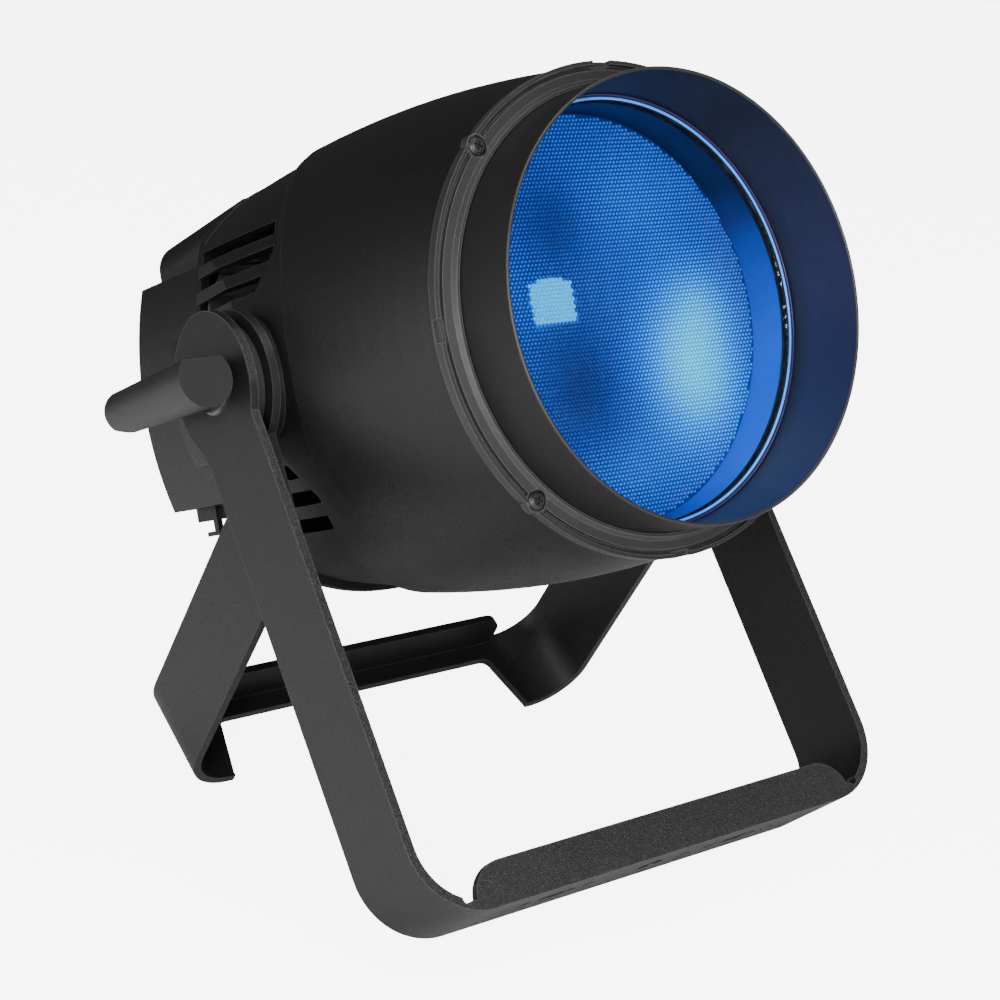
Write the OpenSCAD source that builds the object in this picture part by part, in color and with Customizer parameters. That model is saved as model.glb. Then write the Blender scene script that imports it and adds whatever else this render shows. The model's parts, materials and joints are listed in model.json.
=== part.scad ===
// LED par can light on a folding double bracket.
// World frame: +Z up, the beam leaves towards -Y, X runs along the pivot axis.
// Head parts are drawn in head axes: x across, y towards the top, z along the beam,
// with the pivot axis through the origin.

/* [Pose] */
// Angle of the beam above the horizontal, degrees
head_tilt = 19.7; // [0:0.1:40]
// Forward lean of the front bracket, degrees
front_lean = 38.4; // [34:0.1:42]
// Backward lean of the rear bracket, degrees
rear_lean = 33.5; // [30:0.1:36]

/* [Head] */
// Radius of the head at its widest
head_r = 112.8; // [112:0.1:114]
// Radius of the front edge of the bell
bell_front_r = 103.3; // [102.8:0.1:104]
// Distance from the pivot to the front edge of the bell
bell_front = 133; // [130:1:136]
// Wall of the cast shells
shell_wall = 3; // [2.5:0.5:4]
// Upward lean of the shells towards the back, degrees
shell_lean = 0.9; // [0:0.1:1.2]
// Distance from the pivot to the back of the vented shell
vent_back = 82; // [80:0.5:84]
// Distance from the pivot to the rear panel
rear_back = 162.5; // [158:0.5:166]
// Half width of the rear cover at its front
cover_half_w = 86; // [84:0.5:87]
// Height of one cooling slot
slot_h = 6.5; // [5:0.1:7]
// Spacing of the cooling slots
slot_pitch = 12.3; // [11:0.1:13]

/* [Front] */
// Outer radius of the front ring
ring_r = 105; // [104:0.5:107]
// Outer radius of the hood
hood_r = 94; // [92:0.5:95]
// Sheet of the hood
hood_wall = 1.4; // [1:0.1:2]
// Distance from the pivot to the lip of the hood
hood_front = 169.5; // [160:0.5:180]
// Thickness of the front glass
glass_t = 4; // [3:0.5:5]
// Depth of the lens plate behind the glass
lens_drop = 24; // [18:1:30]

/* [Bracket] */
// Outside width of the front bracket
front_w = 262; // [260:1:270]
// Thickness of the bracket sheet
sheet = 4; // [3:0.5:4]
// Width of a bracket leg
leg_w = 47; // [40:1:50]
// Radius of the round leg ends
eye_r = 32.8; // [30:0.2:34]
// Pivot to the underside of the front bracket
front_len = 251.5; // [245:0.5:260]

/* [Hidden] */
$fn = 96;

eps = 0.01;
gap = 0.3;                               // clearance between bodies that move apart
fit = 0.05;                              // radial clearance of a pin in its hole
pivot_y = 3.814;                         // pivot seen from the middle of the bounding box
pivot_z = front_len * cos(front_lean) + leg_w / 2 * sin(front_lean);
half_w = front_w / 2;
stud_r = 5;

// stack along the pivot, from the head outwards
boss_x = 115.9;
rear_in = boss_x + gap;
rear_out = rear_in + sheet;
front_in = half_w - sheet;
washer_t = 1.2;
hub_in = half_w + washer_t + gap;

// head stations along the beam
lens_face = 131;
seam_r = 122.8;
seam_c = -86;
flange_t = 6;
flank_r = 198;
flank_mid = 4;
panel_t = 2;

black = [0.11, 0.11, 0.11];
dark = [0.16, 0.16, 0.165];
steel = [0.62, 0.63, 0.65];
alu = [0.78, 0.78, 0.8];
brass = [0.8, 0.65, 0.3];
pcb = [0.05, 0.3, 0.15];

// ---------------------------------------------------------------- placing
module at_pivot() {
    translate([0, pivot_y, pivot_z]) children();
}

module head() {
    at_pivot() rotate([90 - head_tilt, 0, 0]) children();
}

module both_sides() {
    children();
    mirror([1, 0, 0]) children();
}

// a cylinder along X from x0 to x1
module x_rod(r, x0, x1) {
    translate([x0, 0, 0]) rotate([0, 90, 0]) cylinder(r = r, h = x1 - x0);
}

// a tube along the beam from z0 to z1
module z_tube(r_out, r_in, z0, z1) {
    translate([0, 0, z0]) difference() {
        cylinder(r = r_out, h = z1 - z0);
        translate([0, 0, -1]) cylinder(r = r_in, h = z1 - z0 + 2);
    }
}

module round_rect(w, h, r) {
    square([w - 2 * r, h], center = true);
    square([w, h - 2 * r], center = true);
    for (sx = [-1, 1], sy = [-1, 1])
        translate([sx * (w / 2 - r), sy * (h / 2 - r)]) circle(r = r, $fn = 48);
}

// pan head screw, its head standing towards +z on the plane z = 0
module pan_screw(d, head_d, head_h, shank) {
    difference() {
        union() {
            cylinder(r = head_d / 2, h = head_h * 0.55, $fn = 48);
            translate([0, 0, head_h * 0.55])
                cylinder(r1 = head_d / 2, r2 = head_d * 0.34, h = head_h * 0.45, $fn = 48);
            translate([0, 0, -shank]) cylinder(r = d / 2, h = shank + eps, $fn = 32);
        }
        for (a = [0, 90])
            rotate(a) translate([-head_d * 0.27, -0.45, head_h * 0.5]) cube([head_d * 0.54, 0.9, head_h]);
    }
}

// ---------------------------------------------------------------- brackets
// flat outline of a front bracket leg, pivot at the origin, leg towards -y, front edge at -x
module front_leg_outline(len) {
    circle(r = eye_r);
    translate([-leg_w / 2, -len]) square([leg_w, len]);
    // fillet from the round end into the back edge of the leg
    mid = leg_w / 2 + neck_r;
    drop = sqrt(pow(eye_r + neck_r, 2) - mid * mid);
    difference() {
        polygon([[0, 0], [mid * eye_r / (eye_r + neck_r), -drop * eye_r / (eye_r + neck_r)], [mid, -drop],
            [leg_w / 2, -drop], [0, -drop]]);
        translate([mid, -drop]) circle(r = neck_r + 0.03);
    }
}

// outer outline of a bent strip: two legs, two round bends and a cross plate of the given width
module strip_outer(w, len, bend) {
    translate([-w / 2, -len + bend]) square([w, len - bend]);
    translate([-w / 2 + bend, -len]) square([w - 2 * bend, bend + eps]);
    for (s = [-1, 1]) translate([s * (w / 2 - bend), -len + bend]) circle(r = bend);
}

// the strip itself, one sheet thick, its legs running up past the pivot
module strip_profile(w, len, bend) {
    difference() {
        strip_outer(w, len, bend);
        translate([-w / 2 + sheet, -len + bend]) square([w - 2 * sheet, len]);
        translate([-w / 2 + bend, -len + sheet]) square([w - 2 * bend, bend]);
        for (s = [-1, 1]) translate([s * (w / 2 - bend), -len + bend]) circle(r = bend - sheet);
    }
    for (s = [0, 1]) mirror([s, 0]) translate([-w / 2, -eps]) square([sheet, eye_r + 2]);
}

// stiffening flange standing up from the cross plate, kept inside the outline of the strip
module flange_outline(w, len, bend, half, h, r) {
    intersection() {
        strip_outer(w, len, bend);
        translate([0, -len]) union() {
            translate([-half, 0]) square([2 * half, h - r]);
            translate([-half + r, 0]) square([2 * (half - r), h]);
            for (s = [-1, 1]) translate([s * (half - r), h - r]) circle(r = r);
        }
    }
}

neck_r = 26;                             // fillet under the round ends of the front legs
front_bend = 32;
front_flange = 18.8;
front_flange_half = 107;
module front_bracket() color(black) at_pivot() rotate([-front_lean, 0, 0]) difference() {
    union() {
        // legs, trimmed to their outline
        intersection() {
            rotate([90, 0, 0]) translate([0, 0, -60]) linear_extrude(120)
                strip_profile(front_w, front_len, front_bend);
            rotate([90, 0, 90]) translate([0, 0, -half_w - 1]) linear_extrude(front_w + 2)
                front_leg_outline(front_len + 1);
        }
        // stiffening flange along the front edge of the cross plate
        translate([0, -leg_w / 2, 0]) rotate([90, 0, 180]) linear_extrude(sheet)
            flange_outline(front_w, front_len, front_bend, front_flange_half, front_flange, 16);
    }
    both_sides() x_rod(stud_r + fit, -half_w - 1, -front_in + 1);
    // relief notches at the ends of the flange
    both_sides() translate([-front_flange_half - 3.8, -leg_w / 2 - 1, -front_len + sheet + 3.2])
        rotate([-90, 0, 0]) cylinder(r = 2.5, h = 6, $fn = 32);
    // clamp hole and its anti-twist hole
    translate([0, 0, -front_len - 1]) cylinder(r = 6.5, h = sheet + 2);
    translate([20, 0, -front_len - 1]) cylinder(r = 3.25, h = sheet + 2);
    // quick-lock patterns: a long hole between two round ones
    for (s = [-1, 1]) translate([s * 53, 0, -front_len - 1]) {
        for (t = [-1, 1]) translate([t * 17.5, 0, 0]) cylinder(r = 3.25, h = sheet + 2);
        translate([-5.5, -4.5, 0]) cube([11, 9, sheet + 2]);
        for (t = [-1, 1]) translate([t * 5.5, 0, 0]) cylinder(r = 4.5, h = sheet + 2);
    }
}

rear_bend = 27.4;
rear_leg_w = 47;
rear_w = 2 * rear_out;
rear_mid = -53.6;                         // middle of the lower leg, seen from the pivot
rear_edge = rear_mid + rear_leg_w / 2;
rear_fore = rear_mid - rear_leg_w / 2;
rear_len = (pivot_z + rear_fore * sin(rear_lean)) / cos(rear_lean);
rear_flange = 25;
rear_flange_half = 91;
rear_strip = 13.7;                       // width left of the cross plate between the feet
// flat outline of the rear bracket's side: round eye, short arm forwards, lower leg
module rear_side_outline(len) {
    circle(r = eye_r);
    polygon([[15.2, -29.2], [rear_edge, -53], [rear_edge, -len], [rear_fore, -len], [rear_fore, -28],
        [rear_fore + 12, -14], [-22, 8], [-14, 29.6]]);
    translate([rear_fore + 13, -27]) circle(r = 13);
}

module rear_bracket() color(black) at_pivot() rotate([rear_lean, 0, 0]) difference() {
    union() {
        intersection() {
            rotate([90, 0, 0]) translate([0, 0, -60]) linear_extrude(150)
                strip_profile(rear_w, rear_len, rear_bend);
            rotate([90, 0, 90]) translate([0, 0, -rear_out - 1]) linear_extrude(rear_w + 2)
                rear_side_outline(rear_len + 1);
        }
        translate([0, rear_edge - sheet, 0]) rotate([90, 0, 180]) linear_extrude(sheet)
            flange_outline(rear_w, rear_len, rear_bend, rear_flange_half, rear_flange, 11);
    }
    both_sides() x_rod(stud_r + fit, -rear_out - 1, -rear_in + 1);
    // the cross plate is cut back between the two feet
    translate([0, 0, -rear_len - 1]) linear_extrude(sheet + 2) {
        polygon([[-90.5, rear_fore - 1], [-90.5, rear_fore + 2], [-84.5, rear_edge - rear_strip - 5],
            [84.5, rear_edge - rear_strip - 5], [90.5, rear_fore + 2], [90.5, rear_fore - 1]]);
        translate([0, rear_edge - rear_strip - 10]) round_rect(169, 20, 5);
    }
}

module friction_discs() color(dark) at_pivot() both_sides()
    difference() {
        x_rod(27, -front_in, -rear_out - gap);
        x_rod(stud_r + gap, -front_in - 1, -rear_out);
    }

module lever_washers() color(steel) at_pivot() both_sides()
    difference() {
        x_rod(12.5, -half_w - washer_t, -half_w);
        x_rod(stud_r + gap, -half_w - 3, -half_w + 1);
    }

// clamping lever: a D-shaped bar across a round hub
lever_x = 149;
lever_drop = 23;
lever_fore = 28.6;
lever_aft = 47.5;
module lever() {
    difference() {
        union() {
            x_rod(11, -lever_x, -hub_in);
            translate([-lever_x, 0, 0]) rotate([-lever_drop, 0, 0]) intersection() {
                union() {
                    translate([0, -lever_fore, 0]) rotate([-90, 0, 0])
                        cylinder(r1 = 12.6, r2 = 10, h = lever_fore + lever_aft);
                    translate([0, lever_aft, 0]) sphere(r = 10);
                }
                translate([-30, -60, -30]) cube([60, 140, 38.6]);
            }
        }
        x_rod(stud_r + fit, -lever_x + 5, -hub_in + 1);
        // finger relief under the free end
        translate([-lever_x, 0, 0]) rotate([-lever_drop, 0, 0]) translate([-20, 58, -32.5])
            rotate([0, 90, 0]) cylinder(r = 26, h = 40);
    }
}
module lever_left() color(dark) at_pivot() lever();
module lever_right() color(dark) at_pivot() mirror([1, 0, 0]) lever();

module pivot_studs() color(steel) at_pivot() both_sides() x_rod(stud_r, -lever_x + 6, -96);

module pivot_blocks() color(alu) head() both_sides() difference() {
    union() {
        x_rod(26, -boss_x, -88);
        x_rod(28, -93, -88);
    }
    x_rod(stud_r, -boss_x - 1, -87);
}

// ---------------------------------------------------------------- shells
bell_belly = 20;                         // station of the largest radius
bell_curve = (head_r - bell_front_r) / pow(bell_front - bell_belly, 2);
back_curve = 0.00055;
function body_r(z) = head_r - (z > bell_belly ? bell_curve : back_curve) * pow(z - bell_belly, 2);

module leaned() {
    translate([0, 0, bell_front]) rotate([shell_lean, 0, 0]) translate([0, 0, -bell_front]) children();
}

// turned body between two stations, cut square at both ends
module turned(z0, z1, inset) {
    a = z0 - 4;
    step = (z1 + 4 - a) / 16;
    intersection() {
        leaned() rotate_extrude($fn = 128) polygon(concat([[0, a]],
            [for (i = [0:16]) [body_r(a + step * i) - inset, a + step * i]], [[0, z1 + 4]]));
        translate([-150, -150, z0]) cube([300, 300, z1 - z0]);
    }
}

module seam_drum(r) {
    translate([0, 0, seam_c]) rotate([0, 90, 0]) cylinder(r = r, h = 300, center = true, $fn = 128);
}

// a wide shallow curve for one side, leaning inwards towards the back
module flank(side, half, at, angle) {
    translate([side * (half - flank_r), flank_mid, at]) rotate([0, side * angle, 0])
        cylinder(r = flank_r, h = 400, center = true, $fn = 128);
}

module flanks(half, at, angle) {
    intersection() {
        flank(1, half, at, angle);
        flank(-1, half, at, angle);
    }
}

module front_shell() color(black) head() difference() {
    union() {
        difference() {
            turned(-60, bell_front, 0);
            turned(-61, bell_front + 1, shell_wall);
        }
        intersection() {
            turned(100, bell_front, 0.6);
            for (a = screw_angles)
                rotate(a) translate([ring_screw_r, 0, 115]) cylinder(r = 4.2, h = 10.9, $fn = 48);
        }
    }
    for (a = screw_angles) rotate(a) translate([ring_screw_r, 0, 118]) cylinder(r = 1.8, h = 20, $fn = 32);
    seam_drum(seam_r);
}

// side view of a vented field, above the pivot band: x along the beam, y up
module vent_field(r, dx) {
    intersection() {
        translate([seam_c, 0]) circle(r = r, $fn = 128);
        polygon([[-120, 31], [-4 + dx, 31], [2 + dx, 32.3], [11 + dx, 39.5], [16 + dx, 46.5], [20 + dx, 56],
            [20 + dx, 130], [-120, 130]]);
    }
}

// a side view pushed through the whole width
module through_x() {
    translate([-150, 0, 0]) rotate([0, 90, 0]) linear_extrude(300) mirror([1, 0]) children();
}

slot_first = 38.7;
module vented_shell() color(black) head() difference() {
    union() {
        difference() {
            intersection() {
                turned(-vent_back, 40, 0.8);
                seam_drum(seam_r - 0.4);
                flanks(114, -28, 27.4);
            }
            // the two vented fields lie a little deeper
            for (m = [0, 1]) mirror([0, m, 0]) difference() {
                through_x() vent_field(119.3, 0);
                mirror([0, m, 0]) intersection() {
                    turned(-vent_back - 1, 41, 3.2);
                    flanks(104, -5, 13.2);
                }
            }
        }
        both_sides() x_rod(28.4, -boss_x + 0.2, -100);
    }
    difference() {
        intersection() {
            leaned() translate([0, 0, -vent_back - 6]) cylinder(r = 100.6, h = 200, $fn = 128);
            flanks(100.6, -5, 13.2);
        }
        // bosses of the rear cover's screws
        for (p = cover_screw_places)
            translate([p[0], p[1], -vent_back - 2]) cylinder(r = 6, h = 12, $fn = 48);
    }
    for (p = cover_screw_places) translate([p[0], p[1], -vent_back - 2]) cylinder(r = 1.25, h = 10, $fn = 32);
    both_sides() x_rod(26, -boss_x - 5, -90);
    // cooling slots; the ribs between them stop just short of the rear edge
    for (m = [0, 1]) mirror([0, m, 0]) {
        for (i = [0:2]) intersection() {
            translate([-150, slot_first + i * slot_pitch, -vent_back - 1]) cube([300, slot_h, 120]);
            through_x() vent_field(112, -8.5);
        }
        translate([-150, slot_first, -vent_back - 1]) cube([300, slot_h + 2 * slot_pitch, 3.2]);
    }
}

// ---------------------------------------------------------------- rear cover
cover_low = -49;
cover_high = 66;
cover_step = -56;
cover_sheet = 2.6;

// section of the raised back: a shallow crown with round shoulders
module crown_section(inset) {
    intersection() {
        translate([0, -201]) circle(r = 300 - inset, $fn = 256);
        union() {
            translate([-59 + inset, 0]) square([118 - 2 * inset, 81.8]);
            translate([-45, 0]) square([90, 110]);
            for (s = [-1, 1]) translate([s * 45, 81.8]) circle(r = 14 - inset);
        }
    }
}

// solid of the cover between two stations; inset shrinks it all round
module cover_solid(inset, back, front) {
    // wide lower block with shallow curved sides
    intersection() {
        translate([-100, cover_low + inset, back])
            cube([200, cover_high - cover_low - 2 * inset, front - back]);
        flanks(cover_half_w - inset, -86, 4.35);
    }
    // stepped underside
    translate([-61 + inset, cover_step + inset, back]) cube([122 - 2 * inset, 30, front - back]);
    // raised back, falling towards the rear
    intersection() {
        translate([0, 0, -86]) rotate([-6.5, 0, 0]) translate([0, 0, -100])
            linear_extrude(140) crown_section(inset);
        translate([-100, 0, back]) cube([200, 150, front - back]);
    }
}

// outline of the rim that closes the vented shell
module rim_outline(half) {
    intersection() {
        translate([0, 1]) circle(r = 106, $fn = 128);
        side_curves(half);
    }
}

module side_curves(half) {
    intersection() {
        translate([half - flank_r, flank_mid]) circle(r = flank_r, $fn = 256);
        translate([flank_r - half, flank_mid]) circle(r = flank_r, $fn = 256);
    }
}

panel_wall = 4.5;
panel_half_w = 60;
panel_h = 100;
panel_mid = 12;
module panel_shape(grow) {
    translate([0, panel_mid]) round_rect(2 * (panel_half_w + grow), panel_h + 2 * grow, 10);
}
panel_screw_places = [[-55, 57], [55, 57], [-55, -33], [55, -33]];
cover_screw_places = [[-63, 75], [63, 75], [-57, -75], [57, -75]];

module rear_cover() color(black) head() difference() {
    union() {
        difference() {
            union() {
                cover_solid(0, -rear_back, -vent_back - 1);
                translate([0, 0, -vent_back - flange_t]) linear_extrude(flange_t) rim_outline(88.5);
            }
            cover_solid(cover_sheet, -rear_back + panel_wall, -vent_back + 1);
        }
        for (p = panel_screw_places)
            translate([p[0], p[1], -rear_back + panel_t]) cylinder(r = 5, h = 9, $fn = 48);
        // small cable hooks under the outer edges
        both_sides() {
            translate([60.5, -64, -142]) cube([3, 15.5, 4]);
            translate([60.5, -64, -150]) cube([3, 2.4, 12]);
        }
    }
    // seat and opening of the rear panel
    translate([0, 0, -rear_back - 1]) linear_extrude(panel_t + 1) panel_shape(0);
    translate([0, 0, -rear_back - 1]) linear_extrude(12) difference() {
        panel_shape(-3.5);
        for (p = panel_screw_places) translate(p) circle(r = 5, $fn = 48);
    }
    for (p = panel_screw_places) translate([p[0], p[1], -rear_back - 1]) cylinder(r = 1.2, h = 10, $fn = 32);
    for (p = cover_screw_places) translate([p[0], p[1], -vent_back - 7]) cylinder(r = 1.7, h = 9, $fn = 32);
}

module rear_panel() color(dark) head() translate([0, 0, -rear_back]) difference() {
    linear_extrude(panel_t) panel_shape(-0.2);
    for (p = panel_screw_places) translate([p[0], p[1], -1]) cylinder(r = 1.7, h = 5, $fn = 32);
    // display and buttons
    translate([-22, 44, -1]) linear_extrude(5) round_rect(52, 26, 2);
    for (i = [0:3]) translate([button_x(i), button_y(i), -1]) cylinder(r = 4.2, h = 5);
    for (s = sockets) translate([s[0], s[1], -1]) cylinder(r = 12.05, h = 5);
    translate([fuse_at[0], fuse_at[1], -1]) cylinder(r = 6.45, h = 5);
    for (s = sockets, k = [-1, 1])
        translate([s[0] + k * 9.5, s[1] - k * 12, -1]) cylinder(r = 1.2, h = 5, $fn = 32);
}

function button_x(i) = i % 2 == 0 ? 24 : 42;
function button_y(i) = i < 2 ? 52 : 36;
sockets = [[-44, 5], [-15, 5], [15, 5], [44, 5]];
fuse_at = [0, -26];

module panel_screws() color(steel) head() for (p = panel_screw_places)
    translate([p[0], p[1], -rear_back]) rotate([180, 0, 0]) pan_screw(2.4, 5.6, 2.2, 8);

module cover_screws() color(steel) head() for (p = cover_screw_places)
    translate([p[0], p[1], -vent_back - flange_t]) rotate([180, 0, 45]) pan_screw(2.4, 6.4, 2.2, 12);

// ---------------------------------------------------------------- front
screw_angles = [45, 135, 225, 315];
ring_screw_r = 101;
module front_ring() color(dark) head() difference() {
    union() {
        rotate_extrude($fn = 128) polygon([[93, 126], [100, 126], [100, bell_front], [ring_r, bell_front],
            [ring_r, 137.5], [ring_r - 1.8, 137.5], [ring_r - 1.8, 135], [ring_r - 4, 135], [ring_r - 4, 137],
            [hood_r + 3.2, 137.6], [hood_r + 1.7, 139.4], [hood_r + 0.4, 139.4], [hood_r + 0.4, 130],
            [93, 130]]);
        for (a = screw_angles)
            rotate(a) translate([ring_screw_r, 0, bell_front]) cylinder(r = 5.2, h = 4.2, $fn = 48);
    }
    for (a = screw_angles) rotate(a) translate([ring_screw_r, 0, 0]) {
        cylinder(r = 1.8, h = 200, $fn = 32);
        translate([0, 0, 135.6]) cylinder(r = 4.4, h = 10, $fn = 48);
    }
    // notches of the accessory catches
    for (a = [0, 90, 180, 270]) rotate(a) translate([ring_r - 2.6, -4.6, 134]) cube([8, 9.2, 8]);
}

module ring_screws() color(black) head() for (a = screw_angles) rotate(a)
    translate([ring_screw_r, 0, 135.6]) rotate(20) pan_screw(3.5, 7.6, 3, 16);

module hood() color(black) head() {
    z_tube(hood_r, hood_r - hood_wall, lens_face - 1, hood_front);
}

module front_glass() color([0.6, 0.75, 0.9, 0.4]) head()
    translate([0, 0, lens_face - glass_t - 1]) cylinder(r = 91.4, h = glass_t, $fn = 128);

module glass_gasket() color([0.06, 0.06, 0.06]) head() difference() {
    union() {
        z_tube(93, 89.4, lens_face - glass_t - 2, lens_face - 1);
        z_tube(92.5, 89.8, lens_face - 1 - eps, lens_face - 0.2);
    }
    translate([0, 0, lens_face - glass_t - 1]) cylinder(r = 91.4, h = glass_t);
}

lens_z = lens_face - lens_drop;
module lens_tube() color([0.1, 0.15, 0.3]) head() {
    z_tube(93, 90.2, lens_z - 4, lens_face - glass_t - 2);
    z_tube(93, 88, lens_z - 6, lens_z - 4 + eps);
}

module lens_plate() color([0.2, 0.5, 1]) head()
    translate([0, 0, lens_z - 3.95]) cylinder(r = 90.1, h = 3, $fn = 128);

// paraboloid-like dish behind the lens plate
dish_back = 38;
dish_steps = 12;
function dish_z(i) = dish_back + (lens_z - 6 - dish_back) * i / dish_steps;
function dish_r(i) = 13 + 74.4 * sqrt(i / dish_steps);
module reflector() color(alu) head() rotate_extrude($fn = 128) polygon(concat(
    [for (i = [0:dish_steps]) [dish_r(i), dish_z(i)]],
    [for (i = [dish_steps:-1:0]) [dish_r(i) + (i > 0 ? 2 : 1.6), dish_z(i)]]));

module led_board() color(pcb) head() difference() {
    translate([-22, -22, dish_back - 3.6]) cube([44, 44, 2]);
    for (sx = [-1, 1], sy = [-1, 1]) translate([sx * 18, sy * 18, 0]) cylinder(r = 1.6, h = 60, $fn = 32);
}

module led_emitter() color([0.9, 0.85, 0.4]) head() {
    translate([-14, -14, dish_back - 1.6]) cube([28, 28, 1]);
    translate([0, 0, dish_back - 0.6]) cylinder(r = 10.5, h = 0.6);
}

// ---------------------------------------------------------------- cooling
sink_front = dish_back - 3.6;
sink_back = -44;
module heat_sink() color(alu) head() {
    translate([0, 0, sink_front - 8]) cylinder(r = 72, h = 8);
    translate([0, 0, sink_back]) linear_extrude(sink_front - 8 - sink_back) {
        circle(r = 16);
        for (i = [0:19]) rotate(i * 18 + 9) translate([12, -0.8]) square([57, 1.6]);
    }
}

fan_z = -70;
fan_half = 46;
module fan_frame() color(black) head() translate([0, 0, fan_z]) difference() {
    linear_extrude(20) round_rect(2 * fan_half, 2 * fan_half, 5);
    translate([0, 0, 4]) cylinder(r = 43.5, h = 20);
    // air openings between four struts that carry the motor
    translate([0, 0, -1]) difference() {
        cylinder(r = 43.5, h = 6);
        cylinder(r = 16.5, h = 6);
        for (a = [45:90:315]) rotate(a) translate([0, -2.5, 0]) cube([50, 5, 6]);
    }
    translate([0, 0, -1]) cylinder(r = 2.05, h = 6, $fn = 32);
    for (sx = [-1, 1], sy = [-1, 1])
        translate([sx * 41, sy * 41, -1]) cylinder(r = 2.1, h = 30, $fn = 32);
}

module fan_rotor() color(dark) head() translate([0, 0, fan_z]) {
    translate([0, 0, 4.4]) cylinder(r = 16.5, h = 14);
    translate([0, 0, 0.4]) cylinder(r = 2, h = 5, $fn = 32);
    for (i = [0:6])
        rotate(i * 360 / 7) translate([15.5, 0, 11.4]) rotate([34, 0, 0])
            translate([0, -8, -0.8]) cube([26.5, 16, 1.6]);
}

module fan_screws() color(steel) head() for (sx = [-1, 1], sy = [-1, 1])
    translate([sx * 41, sy * 41, fan_z - 1.5]) rotate([180, 0, 0]) pan_screw(4.2, 7, 2.4, 20);

// sheet wall between the cooling space and the electronics
module bulkhead() color(steel) head() difference() {
    intersection() {
        translate([0, 0, fan_z - 1.5]) cylinder(r = 96.5, h = 1.5);
        flanks(99.8, -5, 13.2);
    }
    translate([0, 0, fan_z - 3]) cylinder(r = 43.5, h = 5);
    for (sx = [-1, 1], sy = [-1, 1])
        translate([sx * 41, sy * 41, fan_z - 3]) cylinder(r = 2.1, h = 5, $fn = 32);
    for (s = [-1, 1]) translate([s * 72, 30, fan_z - 3]) cylinder(r = 4, h = 5, $fn = 32);
}

// ---------------------------------------------------------------- electronics
tray_low = cover_step + cover_sheet + 0.4;
module supply_tray() color(steel) head() difference() {
    translate([-50, tray_low, -142]) cube([100, 34, 44]);
    translate([-48.8, tray_low + 1.2, -143]) cube([97.6, 40, 50]);
}

module power_supply() color(pcb) head() translate([0, tray_low + 1.2, -140]) {
    translate([-46, 3, 0]) cube([92, 1.6, 40]);
    translate([-40, 4.5, 6]) cube([26, 20, 28]);
    translate([-6, 4.5, 8]) cube([18, 12, 20]);
    for (x = [24, 38]) translate([x, 16, 20]) rotate([90, 0, 0]) cylinder(r = 6.5, h = 11.5);
    for (x = [-42, 40], z = [4, 32])
        translate([x, 0, z]) rotate([-90, 0, 0]) cylinder(r = 2, h = 3 + eps, $fn = 32);
}

module control_board() color([0.03, 0.2, 0.35]) head() {
    translate([-49, 24, -rear_back + 10]) cube([98, 38, 1.6]);
    translate([-10, 27, -rear_back + 11.6]) cube([12, 12, 1.4]);
    translate([10, 30, -rear_back + 11.6]) cube([8, 8, 1.4]);
    for (i = [0:3])
        translate([button_x(i) - 3, button_y(i) - 3, -rear_back + 6.6]) cube([6, 6, 3.4 + eps]);
}

module display_module() color([0.02, 0.05, 0.12]) head()
    translate([-46, 32.5, -rear_back + 3.2]) cube([48, 23, 6.8]);

module display_window() color([0.1, 0.1, 0.12]) head()
    translate([-22, 44, -rear_back + 0.2]) linear_extrude(1.8) round_rect(51.8, 25.8, 1.9);

module button_cap(i) {
    head() translate([button_x(i), button_y(i), -rear_back]) difference() {
        union() {
            translate([0, 0, -2.2]) cylinder(r = 3.8, h = 6.6);
            translate([0, 0, 3]) cylinder(r = 5, h = 1.4);
        }
        translate([0, 0, -3.4]) cylinder(r = 2.2, h = 1.6, $fn = 32);
    }
}
module button_menu() color(dark) button_cap(0);
module button_down() color(dark) button_cap(1);
module button_up() color(dark) button_cap(2);
module button_enter() color(dark) button_cap(3);

// raised surround of the four buttons
module button_bezel() color(black) head() translate([33, 44, -rear_back - 1.2]) difference() {
    linear_extrude(1.2) round_rect(34, 32, 4);
    for (i = [0:3]) translate([button_x(i) - 33, button_y(i) - 44, -1]) cylinder(r = 4.2, h = 4);
}

// ---------------------------------------------------------------- sockets
module socket_flange() {
    translate([0, 0, -rear_back - 2]) linear_extrude(2) difference() {
        round_rect(26, 31, 3);
        for (k = [-1, 1]) translate([k * 9.5, -k * 12]) circle(r = 1.7, $fn = 32);
        circle(r = 9.6);
    }
}

module socket_body(depth) {
    translate([0, 0, -rear_back - eps]) difference() {
        cylinder(r = 12, h = depth);
        translate([0, 0, -1]) cylinder(r = 9.6, h = depth - 1.5);
    }
}

module at_socket(i) {
    head() translate([sockets[i][0], sockets[i][1], 0]) children();
}

module data_in_socket() color(dark) at_socket(0) {
    socket_flange();
    socket_body(19);
    for (a = [90, 210, 330]) rotate(a) translate([4.6, 0, -rear_back + 6]) cylinder(r = 1.2, h = 12);
}

module data_out_socket() color(dark) at_socket(1) {
    difference() {
        socket_flange();
        translate([-3.9, 9.8, -rear_back - 3]) cube([7.8, 4.3, 4]);
    }
    socket_body(19);
    difference() {
        translate([0, 0, -rear_back + 1]) cylinder(r = 6.6, h = 17);
        for (a = [90, 210, 330])
            rotate(a) translate([4.0, 0, -rear_back]) cylinder(r = 1.2, h = 12, $fn = 32);
    }
}

// push latch above the data output
module data_out_latch() color(steel) at_socket(1)
    translate([-3.5, 10.2, -rear_back - 3.8]) cube([7, 3.5, 2.5]);

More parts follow.
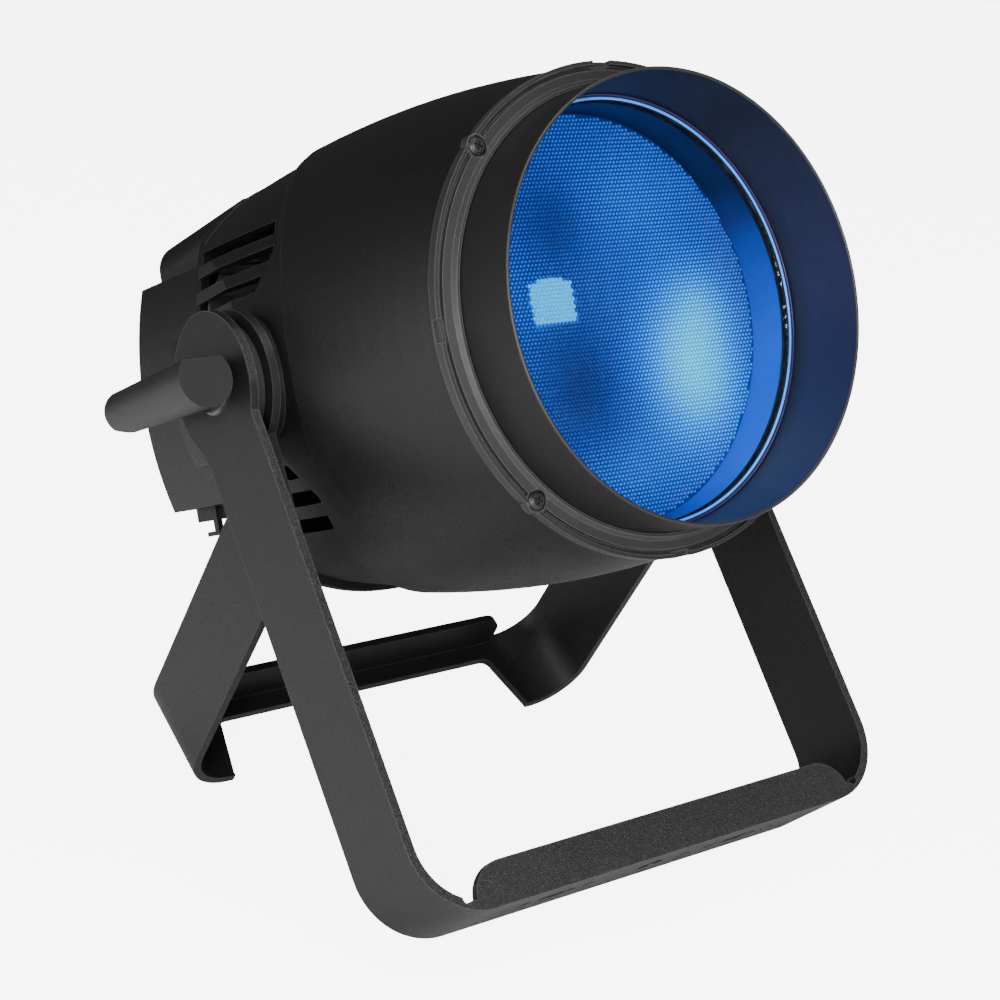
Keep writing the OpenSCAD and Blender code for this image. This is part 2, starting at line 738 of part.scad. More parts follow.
module power_core() {
    translate([0, 0, -rear_back + 2]) difference() {
        cylinder(r = 6.2, h = 16);
        for (a = [0, 120, 240]) rotate(a) translate([2.2, -0.7, -1]) cube([3, 1.4, 10]);
    }
}
module power_in_socket() color([0.1, 0.25, 0.7]) at_socket(2) {
    socket_flange();
    socket_body(19);
    power_core();
}
module power_out_socket() color([0.75, 0.75, 0.75]) at_socket(3) {
    socket_flange();
    socket_body(19);
    power_core();
}

module socket_screws() color(steel) head() for (s = sockets, k = [-1, 1])
    translate([s[0] + k * 9.5, s[1] - k * 12, -rear_back - 2]) rotate([180, 0, 0])
        pan_screw(2.4, 4.8, 1.8, 7);

module fuse_holder() color(black) head() translate([fuse_at[0], fuse_at[1], -rear_back]) difference() {
    union() {
        translate([0, 0, -1.6]) cylinder(r = 8, h = 1.6);
        cylinder(r = 6.4, h = 22);
    }
    translate([0, 0, -3]) cylinder(r = 4.3, h = 22);
}
module fuse_cap() color(black) head() translate([fuse_at[0], fuse_at[1], -rear_back]) difference() {
    union() {
        translate([0, 0, -6]) cylinder(r = 6, h = 4.1);
        translate([0, 0, -2]) cylinder(r = 4.25, h = 14);
    }
    translate([-5, -0.6, -7]) cube([10, 1.2, 2]);
}

// ---------------------------------------------------------------- sundries
// steel eye for the safety cable, under the rear cover
module safety_eye() color(steel) head() translate([0, cover_step, -118]) {
    difference() {
        translate([-14, -2, 0]) cube([28, 2, 18]);
        for (s = [-1, 1]) translate([s * 9, -5, 9]) rotate([-90, 0, 0]) cylinder(r = 1.6, h = 10, $fn = 32);
    }
    difference() {
        translate([-1.5, -13, 0]) cube([3, 11 + eps, 18]);
        translate([-5, -7.5, 9]) rotate([0, 90, 0]) cylinder(r = 4, h = 10);
    }
}

// supply leads of the light source, clipped along the heat sink
module led_leads() for (s = [-1, 1]) color(s > 0 ? "darkred" : "black") head() {
    translate([s * 72, 30, -97]) cylinder(r = 1.1, h = 132.6, $fn = 32);
    translate([s * 72, 30, 35.6]) sphere(r = 1.4, $fn = 32);
    rotate(s > 0 ? atan2(30, 72) : 180 - atan2(30, 72))
        translate([24, 0, 35.6]) rotate([0, 90, 0]) cylinder(r = 1.1, h = 54, $fn = 32);
}

front_bracket();
rear_bracket();
friction_discs();
lever_washers();
lever_left();
lever_right();
pivot_studs();
pivot_blocks();
front_shell();
vented_shell();
rear_cover();
rear_panel();
front_ring();
ring_screws();
hood();
front_glass();
glass_gasket();
lens_tube();
lens_plate();
reflector();
led_emitter();
led_board();
heat_sink();
fan_frame();
fan_rotor();
fan_screws();
bulkhead();
power_supply();
supply_tray();
control_board();
display_module();
display_window();
button_menu();
button_down();
button_up();
button_enter();
button_bezel();
data_in_socket();
data_out_socket();
data_out_latch();
power_in_socket();
power_out_socket();
socket_screws();
fuse_holder();
fuse_cap();
panel_screws();
cover_screws();
safety_eye();
led_leads();
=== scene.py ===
"""Looks for the par can light: materials, the lens of small domes, studio light and camera."""

import json
import math

import bmesh
import bpy
from mathutils import Matrix, Vector


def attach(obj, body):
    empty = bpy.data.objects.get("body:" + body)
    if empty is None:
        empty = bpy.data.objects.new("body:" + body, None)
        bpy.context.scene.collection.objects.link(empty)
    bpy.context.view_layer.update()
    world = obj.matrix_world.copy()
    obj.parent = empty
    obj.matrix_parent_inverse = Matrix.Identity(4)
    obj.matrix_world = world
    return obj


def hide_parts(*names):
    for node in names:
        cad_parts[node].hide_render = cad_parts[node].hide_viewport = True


MM = 0.001

# ------------------------------------------------------------------ frame
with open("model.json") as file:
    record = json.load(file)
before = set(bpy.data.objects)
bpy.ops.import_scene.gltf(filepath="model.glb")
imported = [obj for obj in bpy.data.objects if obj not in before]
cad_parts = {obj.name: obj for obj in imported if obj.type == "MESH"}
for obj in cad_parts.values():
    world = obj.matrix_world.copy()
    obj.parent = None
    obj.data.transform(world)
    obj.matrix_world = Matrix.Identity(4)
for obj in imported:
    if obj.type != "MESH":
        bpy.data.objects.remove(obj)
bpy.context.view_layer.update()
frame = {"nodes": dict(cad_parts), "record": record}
record = frame["record"]
joints = {j["name"]: j for j in record["behaviour"]["joints"]}
slot_of = {s["node"]: s["material_slot"] for s in record["subparts"]}

PIVOT = Vector(joints["head_tilt"]["pos_m"])
BEAM = Vector(joints["fan_spin"]["axis"]).normalized()
ACROSS = Vector((1, 0, 0))
UP = BEAM.cross(ACROSS).normalized()
if UP.z < 0:
    UP = -UP
HEAD = Matrix((ACROSS, UP, BEAM)).transposed()

# stations along the beam, in millimetres from the pivot
LENS_FRONT = 106.05
LENS_R = 89.6
LENS_THICK = 3
GLASS_FRONT = 130.8
HOOD_R = 94.0
HOOD_WALL = 1.4
HOOD_LIP = 169.5


def head_point(x, n, s):
    """A point given in head axes (across, up, along the beam), in millimetres."""
    return PIVOT + HEAD @ Vector((x, n, s)) * MM


# ------------------------------------------------------------------ node helpers
class Graph:
    """Short names for building a material's node tree."""

    def __init__(self, name):
        self.mat = bpy.data.materials.new(name)
        self.mat.use_nodes = True
        self.tree = self.mat.node_tree
        self.shader = self.tree.nodes["Principled BSDF"]
        self.coords = self.add("ShaderNodeTexCoord")

    def add(self, kind, **values):
        node = self.tree.nodes.new(kind)
        for key, value in values.items():
            setattr(node, key, value)
        return node

    def link(self, source, target):
        self.tree.links.new(source, target)

    def set(self, **values):
        for key, value in values.items():
            self.shader.inputs[key.replace("_", " ")].default_value = value

    def noise(self, scale, detail=3.0, rough=0.5, stretch=None):
        node = self.add("ShaderNodeTexNoise")
        node.inputs["Scale"].default_value = scale
        node.inputs["Detail"].default_value = detail
        node.inputs["Roughness"].default_value = rough
        source = self.coords.outputs["Object"]
        if stretch:
            source = self.mapped(stretch)
        self.link(source, node.inputs["Vector"])
        return node.outputs["Fac"]

    def mapped(self, scale):
        node = self.add("ShaderNodeMapping")
        node.inputs["Scale"].default_value = scale
        self.link(self.coords.outputs["Object"], node.inputs["Vector"])
        return node.outputs["Vector"]

    def math(self, kind, a, b=0.0, clamp=False):
        node = self.add("ShaderNodeMath", operation=kind, use_clamp=clamp)
        for i, value in enumerate((a, b)):
            if isinstance(value, (int, float)):
                node.inputs[i].default_value = value
            else:
                self.link(value, node.inputs[i])
        return node.outputs[0]

    def ramp(self, source, stops):
        node = self.add("ShaderNodeValToRGB")
        while len(node.color_ramp.elements) < len(stops):
            node.color_ramp.elements.new(0.5)
        for element, (place, colour) in zip(node.color_ramp.elements, stops):
            element.position = place
            element.color = (*colour, 1)
        self.link(source, node.inputs["Fac"])
        return node.outputs["Color"]

    def spread(self, source, low, high, to_low, to_high):
        node = self.add("ShaderNodeMapRange")
        ends = {"From Min": low, "From Max": high, "To Min": to_low, "To Max": to_high}
        for key, value in ends.items():
            node.inputs[key].default_value = value
        self.link(source, node.inputs["Value"])
        return node.outputs["Result"]

    def mix(self, amount, a, b):
        node = self.add("ShaderNodeMix", data_type="RGBA")
        for key, value in ((0, amount), (6, a), (7, b)):
            if isinstance(value, (int, float)):
                node.inputs[key].default_value = value
            elif isinstance(value, tuple):
                node.inputs[key].default_value = (*value, 1)
            else:
                self.link(value, node.inputs[key])
        return node.outputs[2]

    def bump(self, height, depth, strength=1.0):
        node = self.add("ShaderNodeBump")
        node.inputs["Strength"].default_value = strength
        node.inputs["Distance"].default_value = depth
        self.link(height, node.inputs["Height"])
        self.link(node.outputs["Normal"], self.shader.inputs["Normal"])

    def dot(self, vector, direction):
        node = self.add("ShaderNodeVectorMath", operation="DOT_PRODUCT")
        self.link(vector, node.inputs[0])
        node.inputs[1].default_value = direction
        return node.outputs["Value"]

    def edges(self, radius):
        """1 along sharp edges, 0 on open faces."""
        bevel = self.add("ShaderNodeBevel", samples=4)
        bevel.inputs["Radius"].default_value = radius
        plain = self.add("ShaderNodeNewGeometry")
        node = self.add("ShaderNodeVectorMath", operation="DOT_PRODUCT")
        self.link(bevel.outputs["Normal"], node.inputs[0])
        self.link(plain.outputs["Normal"], node.inputs[1])
        return self.spread(node.outputs["Value"], 0.995, 0.9, 0.0, 1.0)

    def colour(self, source):
        self.link(source, self.shader.inputs["Base Color"])

    def roughness(self, source):
        self.link(source, self.shader.inputs["Roughness"])

    def emission(self, source, strength):
        self.link(source, self.shader.inputs["Emission Color"])
        self.set(Emission_Strength=strength)


# depth of the surface grain, in metres
PAINT_GRAIN = 0.00012
PLASTIC_GRAIN = 0.00006


def scaled(colour, factor):
    return tuple(min(1.0, c * factor) for c in colour)


# ------------------------------------------------------------------ materials
def coat(name, base, rough=(0.36, 0.54), grain=0.8, edge_highlight=6.0, cut_axis=None, sparkle=0.0):
    """Fine textured paint, lighter at its edges with a painted highlight. cut_axis is the way that a
    sheet's cut edges face; those cut faces get a painted highlight too.
    """
    g = Graph(name)
    fine = g.noise(1 / (grain * MM), 2.0, 0.55)
    broad = g.noise(14, 3.0)
    mottled = g.mix(g.spread(broad, 0.3, 0.7, 0, 1), scaled(base, 0.86), scaled(base, 1.16))
    speck = g.mix(g.spread(fine, 0.5, 0.78, 0, 1), mottled, scaled(base, 1.7 + sparkle))
    # painted highlight along the edges, speckled by the grain; the edge factor sets how light it is
    highlight_mask = g.math("MULTIPLY", g.edges(0.7 * MM), g.spread(fine, 0.3, 0.6, 0.35, 1))
    highlighted = g.mix(highlight_mask, speck, scaled(base, edge_highlight))
    height = fine
    if cut_axis is not None:
        facing = g.math("ABSOLUTE", g.dot(g.coords.outputs["Normal"], cut_axis))
        cut = g.spread(facing, 0.9, 0.97, 0, 1)
        rags = g.noise(1300, 3.0, 0.7)
        # painted highlight on the cut faces, in ragged specks; the ragged bump below is the cut's own
        # texture
        highlighted = g.mix(g.math("MULTIPLY", cut, g.spread(rags, 0.5, 0.7, 0, 0.8)), highlighted, scaled(base, 18.0))
        ragged = g.math("MULTIPLY", g.math("MULTIPLY", cut, rags), 6.0)
        height = g.math("ADD", fine, ragged)
    g.colour(highlighted)
    g.roughness(g.spread(fine, 0.25, 0.75, rough[1], rough[0]))
    g.set(Specular_IOR_Level=0.45)
    g.bump(height, PAINT_GRAIN)
    return g.mat


def plastic(name, base, rough=0.45, grain=0.5):
    """Moulded plastic or rubber with a fine grain."""
    g = Graph(name)
    fine = g.noise(1 / (grain * MM), 2.0)
    broad = g.noise(22, 2.0)
    body = g.mix(g.spread(broad, 0.3, 0.7, 0, 1), scaled(base, 0.88), scaled(base, 1.12))
    # painted highlight along the edges, 1.9 times the base
    g.colour(g.mix(g.edges(0.5 * MM), body, scaled(base, 1.9)))
    g.roughness(g.spread(fine, 0.2, 0.8, rough + 0.08, rough - 0.08))
    g.bump(fine, PLASTIC_GRAIN)
    return g.mat


def metal(name, base, rough=0.3, stretch=(40, 900, 900)):
    """Bare metal with fine lines along one way."""
    g = Graph(name)
    lines = g.noise(1.0, 4.0, 0.6, stretch)
    stain = g.noise(30, 3.0)
    g.colour(g.mix(g.spread(stain, 0.3, 0.7, 0, 1), scaled(base, 0.85), base))
    g.roughness(g.spread(lines, 0.3, 0.7, rough - 0.08, rough + 0.12))
    g.set(Metallic=1.0)
    g.bump(lines, 0.00005, 0.5)
    return g.mat


def mirror_dish(name):
    """Bright polished aluminium of the reflector."""
    g = Graph(name)
    rings = g.noise(700, 1.0)
    g.colour(g.ramp(g.noise(60, 2.0), [(0.3, (0.8, 0.82, 0.86)), (0.7, (0.92, 0.94, 0.96))]))
    g.roughness(g.spread(rings, 0.3, 0.7, 0.06, 0.16))
    g.set(Metallic=1.0)
    g.bump(rings, 0.00003, 0.4)
    return g.mat


def clear_glass(name):
    g = Graph(name)
    dust = g.noise(500, 2.0)
    g.colour(g.ramp(g.noise(8, 1.0), [(0.3, (0.93, 0.97, 1.0)), (0.7, (0.97, 0.99, 1.0))]))
    g.roughness(g.spread(dust, 0.45, 0.8, 0.0, 0.05))
    g.set(IOR=1.45, Transmission_Weight=1.0)
    return g.mat


def board(name):
    """Green circuit board with lighter tracks."""
    g = Graph(name)
    tracks = g.add("ShaderNodeTexBrick")
    sizes = {"Scale": 260.0, "Mortar Size": 0.03, "Brick Width": 1.4, "Row Height": 0.3}
    for key, value in sizes.items():
        tracks.inputs[key].default_value = value
    tracks.inputs["Color1"].default_value = (0.012, 0.09, 0.04, 1)
    tracks.inputs["Color2"].default_value = (0.016, 0.12, 0.05, 1)
    tracks.inputs["Mortar"].default_value = (0.1, 0.3, 0.12, 1)
    g.link(g.coords.outputs["Object"], tracks.inputs["Vector"])
    g.colour(tracks.outputs["Color"])
    g.roughness(g.spread(g.noise(300), 0.3, 0.7, 0.3, 0.5))
    g.bump(tracks.outputs["Fac"], 0.00008)
    return g.mat


def emitter(name):
    """Cells of the light source."""
    g = Graph(name)
    cells = g.add("ShaderNodeTexVoronoi", feature="DISTANCE_TO_EDGE")
    cells.inputs["Scale"].default_value = 600
    g.link(g.coords.outputs["Object"], cells.inputs["Vector"])
    glow = g.ramp(cells.outputs["Distance"], [(0.02, (0.0, 0.08, 0.5)), (0.12, (0.1, 0.6, 1.0))])
    g.colour(glow)
    g.emission(glow, 0.5)
    g.set(Roughness=0.3)
    return g.mat


def dark_window(name):
    g = Graph(name)
    smudge = g.noise(120, 3.0)
    g.colour(g.ramp(smudge, [(0.35, (0.008, 0.009, 0.012)), (0.65, (0.014, 0.015, 0.02))]))
    g.roughness(g.spread(smudge, 0.35, 0.65, 0.04, 0.14))
    g.set(Coat_Weight=0.5)
    return g.mat


def head_offset(g):
    """Object coordinates measured from the pivot."""
    node = g.add("ShaderNodeVectorMath", operation="SUBTRACT")
    g.link(g.coords.outputs["Object"], node.inputs[0])
    node.inputs[1].default_value = PIVOT
    return node.outputs["Vector"]


def facing_in(g, place):
    """1 on faces that look towards the beam axis, 0 on those that look away from it."""
    normal = g.coords.outputs["Normal"]
    across = g.math("MULTIPLY", g.dot(normal, ACROSS), g.dot(place, ACROSS))
    upward = g.math("MULTIPLY", g.dot(normal, UP), g.dot(place, UP))
    return g.spread(g.math("ADD", across, upward), -0.03, -0.06, 0.0, 1.0)


def painted_glow_wall(name):
    """Smooth tube wall with painted light inside only, the beam's glow: dark navy at the top, bright
    blue low on one side.
    """
    g = Graph(name)
    place = head_offset(g)
    inside = facing_in(g, place)
    side = g.dot(place, ACROSS * math.cos(math.radians(-32)) + UP * math.sin(math.radians(-32)))
    lit = g.spread(side, 0.035, 0.086, 0.0, 1.0)
    soft = g.noise(24, 2.0)
    level = g.math("ADD", lit, g.math("MULTIPLY", g.math("SUBTRACT", soft, 0.5), 0.16), clamp=True)
    stops = [(0.0, (0.0, 0.004, 0.03)), (0.3, (0.0, 0.016, 0.15)), (0.65, (0.0, 0.055, 0.55)),
             (1.0, (0.0, 0.11, 0.95))]
    colour = g.mix(inside, (0.0, 0.0, 0.0), g.ramp(level, stops))
    g.colour(g.mix(0.85, colour, (0.0, 0.004, 0.02)))
    g.emission(colour, 0.85)
    g.set(Roughness=0.35)
    g.bump(g.noise(90, 2.0), 0.00005)
    return g.mat


def domed_glow(name):
    """Lens of small domes lit from behind: the glow attribute holds how bright each point is."""
    g = Graph(name)
    glow = g.add("ShaderNodeAttribute", attribute_name="glow")
    sparkle = g.noise(900, 2.0)
    flicker = g.math("MULTIPLY", g.math("SUBTRACT", sparkle, 0.5), 0.10)
    level = g.math("ADD", glow.outputs["Fac"], flicker, clamp=True)
    stops = [(0.0, (0.0, 0.002, 0.025)), (0.22, (0.0, 0.014, 0.13)), (0.42, (0.0, 0.06, 0.55)),
             (0.62, (0.0, 0.28, 1.0)), (0.8, (0.0, 0.72, 1.0)), (1.0, (0.05, 1.0, 1.0))]
    colour = g.ramp(level, stops)
    g.colour(g.mix(0.8, colour, (0.0, 0.01, 0.05)))
    g.emission(colour, 1.3)
    g.set(Roughness=0.3, Specular_IOR_Level=0.2)
    return g.mat


def bright_line(name, colour, strength):
    """Thin line of light along an edge."""
    g = Graph(name)
    shade = g.ramp(g.noise(60, 2.0), [(0.3, scaled(colour, 0.7)), (0.7, colour)])
    g.colour(shade)
    g.emission(shade, strength)
    g.set(Roughness=0.3)
    return g.mat


def hood_paint_and_glow(name):
    """Matt black outside; inside it carries painted light, the deep blue glow of the beam, strongest low
    on the right.
    """
    g = Graph(name)
    base = (0.0045, 0.0045, 0.0046)
    fine = g.noise(1 / (0.6 * MM), 2.0, 0.6)
    place = head_offset(g)
    inside = facing_in(g, place)
    side = g.dot(place, ACROSS * math.cos(math.radians(-22)) + UP * math.sin(math.radians(-22)))
    lit = g.spread(side, 0.02, 0.088, 0.03, 1.0)
    deep = g.spread(g.dot(place, BEAM), 0.131, 0.142, 0.1, 1.0)
    amount = g.math("MULTIPLY", g.math("MULTIPLY", inside, lit), deep)
    body = g.mix(g.spread(fine, 0.5, 0.78, 0, 1), base, scaled(base, 1.6))
    g.colour(g.mix(inside, body, (0.004, 0.004, 0.006)))
    # painted light: the beam's navy glow, only on the inner faces
    g.emission(g.ramp(amount, [(0.0, (0, 0, 0)), (1.0, (0.0065, 0.009, 0.055))]), 1.0)
    g.set(Specular_IOR_Level=0.4)
    g.roughness(g.spread(fine, 0.25, 0.75, 0.62, 0.46))
    g.bump(fine, 0.0001)
    return g.mat


def lean_axis(angle):
    """The way that the front and back edges of a strip face when it leans by an angle in degrees."""
    a = math.radians(angle)
    return Vector((0, math.cos(a), math.sin(a)))


BLACK = (0.0034, 0.0031, 0.0029)
MAKERS = {
    "powder_black": lambda n: coat(n, BLACK, grain=0.7, edge_highlight=14.0, sparkle=0.6),
    "ring_grey": lambda n: coat(n, (0.02, 0.02, 0.021), grain=0.55, edge_highlight=5, rough=(0.3, 0.46)),
    "lever_black": lambda n: plastic(n, (0.015, 0.0147, 0.0147), 0.42, 0.4),
    "steel": lambda n: metal(n, (0.55, 0.55, 0.56), 0.3),
    "aluminium": lambda n: metal(n, (0.72, 0.72, 0.74), 0.34, (300, 300, 60)),
    "mirror_dish": mirror_dish,
    "glass": clear_glass,
    "lens_plastic": domed_glow,
    "tube_satin": painted_glow_wall,
    "rubber": lambda n: plastic(n, (0.008, 0.008, 0.008), 0.7, 0.8),
    "board": board,
    "emitter": emitter,
    "black_plastic": lambda n: plastic(n, (0.011, 0.011, 0.012), 0.42),
    "blue_plastic": lambda n: plastic(n, (0.02, 0.09, 0.5), 0.4),
    "grey_plastic": lambda n: plastic(n, (0.4, 0.4, 0.41), 0.42),
    "window": dark_window,
    "wire": lambda n: plastic(n, (0.16, 0.01, 0.01), 0.5),
}
FRONT_LEAN = 38.4                    # forward lean of the front bracket, degrees
materials = {slot: make(slot) for slot, make in MAKERS.items()}
special = {
    "front_bracket": coat("bracket_front", (0.0036, 0.0034, 0.0034), grain=0.7, edge_highlight=24.0,
                          cut_axis=lean_axis(-FRONT_LEAN), sparkle=1.0),
    "rear_bracket": coat("bracket_rear", (0.0045, 0.0043, 0.0042), grain=0.7, edge_highlight=12.0, sparkle=0.5),
    "hood": hood_paint_and_glow("hood_paint_and_glow"),
    "ring_screws": coat("screw_black", (0.014, 0.014, 0.015), grain=0.4, edge_highlight=3.0, rough=(0.25, 0.4)),
}


def dress(node, obj):
    mat = special.get(node) or materials[slot_of[node]]
    if not obj.material_slots:
        obj.data.materials.append(mat)
    for slot in obj.material_slots:
        slot.material = mat


for name, obj in frame["nodes"].items():
    dress(name, obj)


# ------------------------------------------------------------------ added pieces
def add_piece(name, verts, faces, mat):
    """A smooth piece that rides on the head."""
    mesh = bpy.data.meshes.new(name)
    mesh.from_pydata([tuple(v) for v in verts], [], faces)
    mesh.update()
    for p in mesh.polygons:
        p.use_smooth = True
    obj = bpy.data.objects.new(name, mesh)
    bpy.context.scene.collection.objects.link(obj)
    mesh.materials.append(mat)
    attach(obj, "head")
    return obj


def ring_piece(name, radius, thick, station, mat, steps=192, sides=12):
    """A round bead about the beam: its middle runs on a circle of the radius at the station."""
    verts, faces = [], []
    for i in range(steps):
        a = 2 * math.pi * i / steps
        for j in range(sides):
            b = 2 * math.pi * j / sides
            r = radius + thick * math.cos(b)
            verts.append(head_point(r * math.cos(a), r * math.sin(a), station + thick * math.sin(b)))
    for i in range(steps):
        for j in range(sides):
            k, m = (i + 1) % steps, (j + 1) % sides
            faces.append((i * sides + j, k * sides + j, k * sides + m, i * sides + m))
    return add_piece(name, verts, faces, mat)


# light field of the lens: soft bright and dark patches (across, up, spread across, spread up, amount)
PATCHES = [
    (50, -25, 28, 36, 0.50),
    (60, 4, 18, 18, 0.12),
    (32, 50, 34, 24, 0.10),
    (-14, -28, 18, 26, -0.16),
    (-16, 42, 16, 18, -0.13),
    (2, -66, 30, 18, 0.10),
    (-46, 14, 16, 22, 0.06),
]
EMITTER_VIEW = (-23, 10, 12, 10)      # image of the light source: middle and half sizes
BASE_LEVEL = 0.27                     # light of the lens away from the patches
BACK_LEVEL = 0.1                      # light of its unseen back


def field(x, n):
    """Light of the lens at a point given across and up, from 0 to about 1."""
    level = BASE_LEVEL
    for cx, cn, sx, sn, amount in PATCHES:
        level += amount * math.exp(-((x - cx) / sx) ** 2 - ((n - cn) / sn) ** 2)
    return level


def in_emitter_view(x, n):
    """True inside the image of the light source, a rectangle with a bulging top."""
    cx, cn, hx, hn = EMITTER_VIEW
    bulge = 3.0 * (1 - ((x - cx) / hx) ** 2)
    return abs(x - cx) < hx and -hn < n - cn < hn - 3 + bulge


def levels(x, n):
    """Light between the domes, on a dome's side and on its top."""
    if in_emitter_view(x, n):
        return 0.66, 0.72, 0.84
    here = field(x, n)
    return 0.55 * here + 0.35 * here ** 2, 1.0 * here + 0.12, 1.42 * here + 0.25


def lens_plate():
    """Base disc covered with small domes set in a honeycomb pattern."""
    pitch, dome_r, dome_h, sides = 2.0, 1.0, 0.6, 6
    verts, faces, glow = [], [], []

    def put(x, n, s, level):
        verts.append(head_point(x, n, s))
        glow.append(level)
        return len(verts) - 1

    # base disc, its level following the field between the domes
    rings, around = 30, 120
    grid = [[put(0, 0, LENS_FRONT, field(0, 0))] * around]
    for i in range(1, rings + 1):
        r = LENS_R * i / rings
        circle = []
        for j in range(around):
            a = 2 * math.pi * j / around
            x, n = r * math.cos(a), r * math.sin(a)
            circle.append(put(x, n, LENS_FRONT, levels(x, n)[0]))
        grid.append(circle)
    for i in range(rings):
        for j in range(around):
            k = (j + 1) % around
            if i == 0:
                faces.append((grid[0][0], grid[1][j], grid[1][k]))
            else:
                faces.append((grid[i][j], grid[i + 1][j], grid[i + 1][k], grid[i][k]))
    # domes
    reach = int(LENS_R / pitch) + 8
    for row in range(-reach, reach + 1):
        for column in range(-reach, reach + 1):
            x = pitch * (column + (row % 2) / 2)
            n = pitch * row * math.sqrt(3) / 2
            if math.hypot(x, n) > LENS_R - dome_r:
                continue
            low, mid, high = levels(x, n)
            top = put(x, n, LENS_FRONT + dome_h, high)
            middle, edge = [], []
            for q in range(sides):
                b = 2 * math.pi * (q + 0.5) / sides
                c, s = math.cos(b), math.sin(b)
                dx, dn = dome_r * c, dome_r * s
                middle.append(put(x + 0.55 * dx, n + 0.55 * dn, LENS_FRONT + 0.8 * dome_h, mid))
                edge.append(put(x + dx, n + dn, LENS_FRONT + 0.02, low))
            for q in range(sides):
                w = (q + 1) % sides
                faces.append((top, middle[q], middle[w]))
                faces.append((middle[q], edge[q], edge[w], middle[w]))
    # back and rim, so that the plate is closed
    back = []
    for j in range(around):
        a = 2 * math.pi * j / around
        back.append(put(LENS_R * math.cos(a), LENS_R * math.sin(a), LENS_FRONT - LENS_THICK, BACK_LEVEL))
    for j in range(around):
        k = (j + 1) % around
        faces.append((grid[rings][k], grid[rings][j], back[j], back[k]))
    faces.append(tuple(reversed(back)))
    obj = add_piece("lens_domes", verts, faces, materials["lens_plastic"])
    store = obj.data.attributes.new("glow", "FLOAT", "POINT")
    store.data.foreach_set("value", glow)
    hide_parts("lens_plate")


lens_plate()
# painted light: a blue glow line along the glass edge and a dim violet one along its rim
ring_piece("glass_edge_light", 90.5, 0.55, GLASS_FRONT + 0.1,
           bright_line("edge_blue", (0.0, 0.22, 1.0), 1.0))
ring_piece("glass_rim_glow", 92.0, 0.3, GLASS_FRONT + 0.6,
           bright_line("rim_glow_violet", (0.03, 0.018, 0.09), 0.6))
# the lip is lighter than the hood: a painted highlight along the rim
ring_piece("hood_lip", HOOD_R - HOOD_WALL / 2, HOOD_WALL / 2 + 0.06, HOOD_LIP,
           coat("lip_highlight_paint", (0.016, 0.015, 0.015), grain=0.6, edge_highlight=2.0))


# ------------------------------------------------------------------ studio
PAPER_WHITE = 7.0                    # brightness of the paper behind and below, as the camera sees it
LIGHT_AIM = (0, 0, 0.18)             # the point that every light faces
# name, place, size, power
LIGHTS = [
    ("key", (-1.35, -1.35, 0.7), (0.45, 1.2), 42),
    ("left_wall", (-1.8, 0.3, 0.4), (0.5, 1.4), 17),
    ("top", (0.0, -0.5, 1.8), (0.8, 0.6), 20),
    ("front_fill", (-0.5, -2.0, 0.7), (0.7, 0.8), 26),
]


def studio_floor():
    bm = bmesh.new()
    bmesh.ops.create_grid(bm, x_segments=2, y_segments=2, size=8)
    mesh = bpy.data.meshes.new("floor")
    bm.to_mesh(mesh)
    bm.free()
    obj = bpy.data.objects.new("floor", mesh)
    bpy.context.scene.collection.objects.link(obj)
    g = Graph("floor_paper")
    g.colour(g.ramp(g.noise(3, 2.0), [(0.3, (0.86, 0.86, 0.86)), (0.7, (0.88, 0.88, 0.88))]))
    g.set(Roughness=0.9, Specular_IOR_Level=0.1)
    rays = g.add("ShaderNodeLightPath")
    seen = g.math("MULTIPLY", rays.outputs["Is Camera Ray"], PAPER_WHITE - 0.5)
    g.link(seen, g.shader.inputs["Emission Strength"])
    g.set(Emission_Color=(1, 1, 1, 1))
    mesh.materials.append(g.mat)


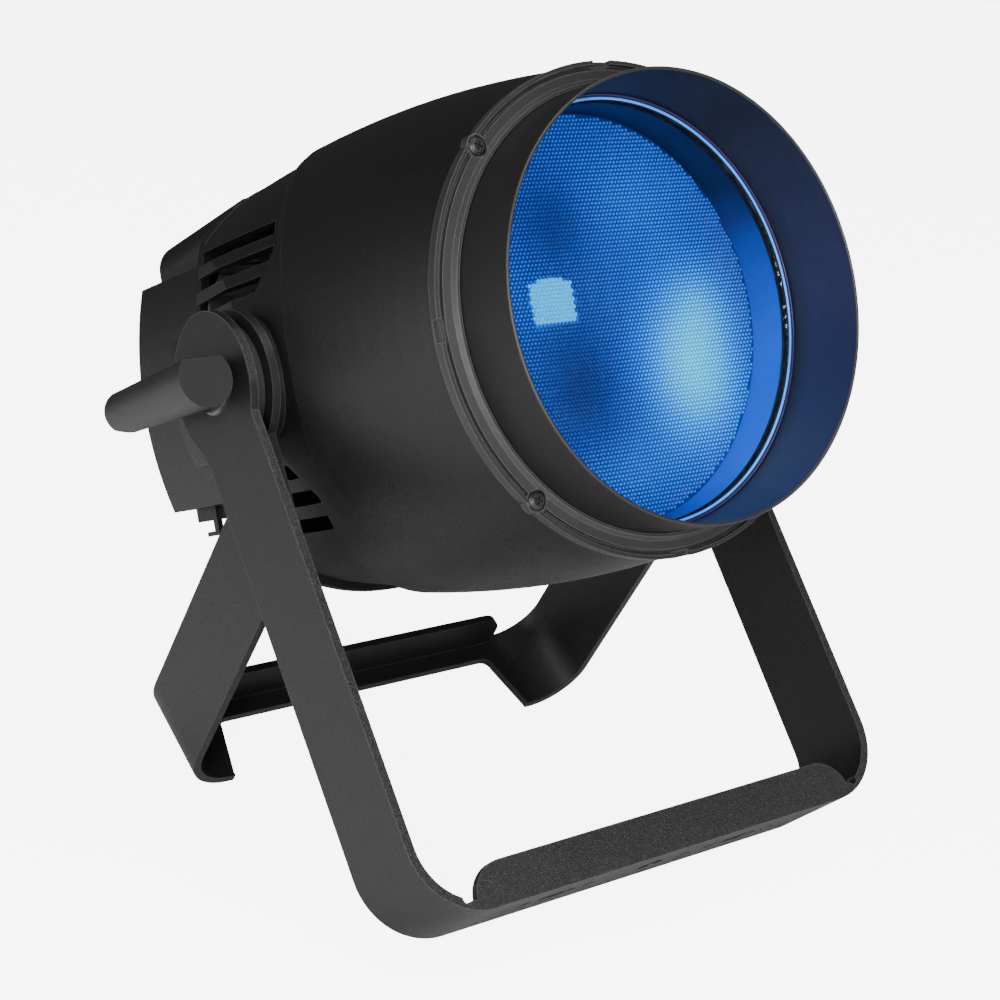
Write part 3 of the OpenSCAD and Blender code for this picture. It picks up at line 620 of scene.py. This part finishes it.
def area_light(name, place, size, power):
    data = bpy.data.lights.new(name, "AREA")
    data.shape = "RECTANGLE"
    data.size, data.size_y = size
    data.energy = power
    obj = bpy.data.objects.new(name, data)
    bpy.context.scene.collection.objects.link(obj)
    obj.location = place
    obj.rotation_mode = "QUATERNION"
    obj.rotation_quaternion = (Vector(LIGHT_AIM) - Vector(place)).to_track_quat("-Z", "Y")


def world_light(strength):
    world = bpy.data.worlds.new("studio")
    bpy.context.scene.world = world
    world.use_nodes = True
    nodes, links = world.node_tree.nodes, world.node_tree.links
    back = nodes["Background"]
    back.inputs["Color"].default_value = (1, 1, 1, 1)
    back.inputs["Strength"].default_value = strength
    paper = nodes.new("ShaderNodeBackground")
    paper.inputs["Strength"].default_value = PAPER_WHITE
    rays, mix = nodes.new("ShaderNodeLightPath"), nodes.new("ShaderNodeMixShader")
    links.new(rays.outputs["Is Camera Ray"], mix.inputs[0])
    links.new(back.outputs[0], mix.inputs[1])
    links.new(paper.outputs[0], mix.inputs[2])
    links.new(mix.outputs[0], nodes["World Output"].inputs["Surface"])


studio_floor()
world_light(0.06)
for light in LIGHTS:
    area_light(*light)


# ------------------------------------------------------------------ camera
CAMERA_TURN = (-38.155, 16.066, 2.462)           # azimuth, elevation and roll, degrees
CAMERA_PLACE = (20.951, -67.039, 989.04)         # right of, above and away from the pivot, millimetres
CAMERA_LENS = 75.77                              # focal length on a sensor 36 mm wide


def make_camera():
    azimuth, elevation, roll = (math.radians(v) for v in CAMERA_TURN)
    flat = math.cos(elevation)
    away = Vector((math.sin(azimuth) * flat, -math.cos(azimuth) * flat, math.sin(elevation)))
    ahead = -away
    right = Vector((math.cos(azimuth), math.sin(azimuth), 0))
    up = right.cross(ahead)
    c, s = math.cos(roll), math.sin(roll)
    right, up = right * c + up * s, up * c - right * s
    data = bpy.data.cameras.new("camera")
    data.sensor_width = 36
    data.lens = CAMERA_LENS
    data.clip_end = 50
    cam = bpy.data.objects.new("camera", data)
    bpy.context.scene.collection.objects.link(cam)
    turn = Matrix((right, up, away)).transposed().to_4x4()
    x, y, z = CAMERA_PLACE
    cam.matrix_world = Matrix.Translation(PIVOT + (x * right + y * up + z * away) * MM) @ turn
    bpy.context.scene.camera = cam


make_camera()
